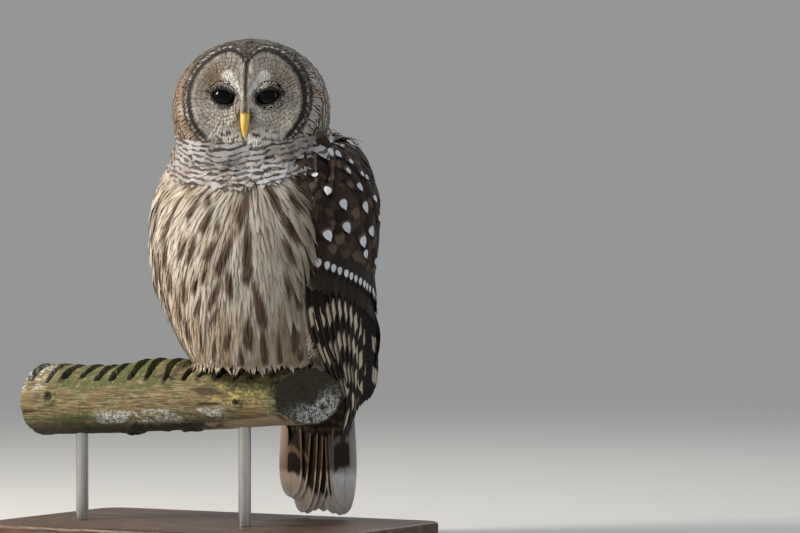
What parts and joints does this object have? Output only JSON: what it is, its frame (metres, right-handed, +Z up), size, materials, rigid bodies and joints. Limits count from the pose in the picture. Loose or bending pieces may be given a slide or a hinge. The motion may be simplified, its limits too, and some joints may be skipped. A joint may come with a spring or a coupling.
{
  "type": "barred owl on a perch",
  "caption": "Life-size barred owl with its head turned to its left, gripping a short notched log that a plain display stand holds up.",
  "frame": {"origin": "centre of the base's underside, on the surface that the model stands on", "axes": "+Z up; +X along the log, towards the owl's left; the owl's body faces -Y"},
  "size_m": [0.38, 0.25, 0.4763],
  "materials": {
    "feather_face": "soft matte feathers, grey facial discs with brown rings",
    "feather_ruff": "soft matte feathers with cross bars",
    "feather_breast": "soft matte feathers with brown streaks",
    "feather_dark": "smooth brown feathers with pale spots and bars",
    "eye": "very dark brown, wet gloss",
    "bill": "satin yellow horn",
    "claw": "satin dark horn",
    "perch_wood": "weathered, cracked, with moss and lichen",
    "stand_wood": "dark stained, satin",
    "stand_steel": "brushed"
  },
  "bodies": {
    "root": {"bill_lower": "bill", "bill_upper": "bill", "claw_hind_left": "claw", "claw_hind_right": "claw", "claw_inner_left": "claw", "claw_inner_right": "claw", "claw_middle_left": "claw", "claw_middle_right": "claw", "claw_outer_left": "claw", "claw_outer_right": "claw", "eye_left": "eye", "eye_right": "eye", "foot_left": "feather_breast", "foot_right": "feather_breast", "head": "feather_face", "leg_left": "feather_breast", "leg_right": "feather_breast", "neck": "feather_ruff", "perch": "perch_wood", "stand_base": "stand_wood", "stand_rod_left": "stand_steel", "stand_rod_right": "stand_steel", "tail": "feather_dark", "trunk": "feather_breast", "wing_left": "feather_dark", "wing_right": "feather_dark"}
  },
  "joints": []
}
